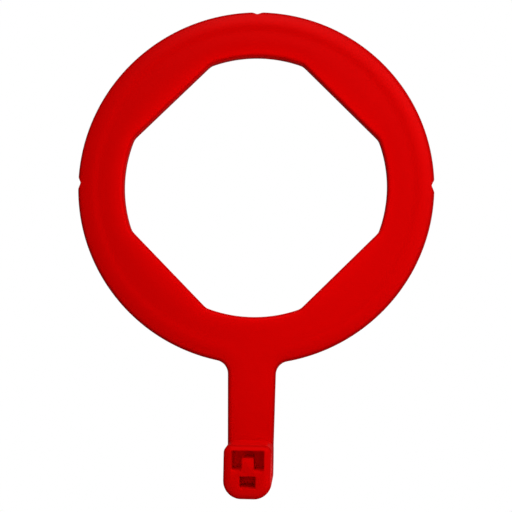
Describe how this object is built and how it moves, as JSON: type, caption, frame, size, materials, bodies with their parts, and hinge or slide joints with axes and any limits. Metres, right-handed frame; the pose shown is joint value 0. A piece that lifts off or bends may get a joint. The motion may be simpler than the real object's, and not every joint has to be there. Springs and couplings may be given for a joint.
{
  "type": "radiograph aiming ring",
  "caption": "Flat aiming ring with an eight-sided opening, edge notches, a short stem and an upright socket that an indicator arm plugs into.",
  "frame": {"origin": "below the middle of the whole part, on the flat back face it lies on", "axes": "+Z is the ring's axis, out of the front face that the socket stands on; +Y runs from the socket to the top of the ring; +X is to the right, seen from the front"},
  "size_m": [0.0802, 0.1076, 0.014],
  "materials": {
    "red_plastic": "satin moulded red plastic"
  },
  "bodies": {
    "root": {"aiming_ring": "red_plastic", "stem": "red_plastic", "socket_back": "red_plastic", "arm_socket": "red_plastic"}
  },
  "joints": []
}
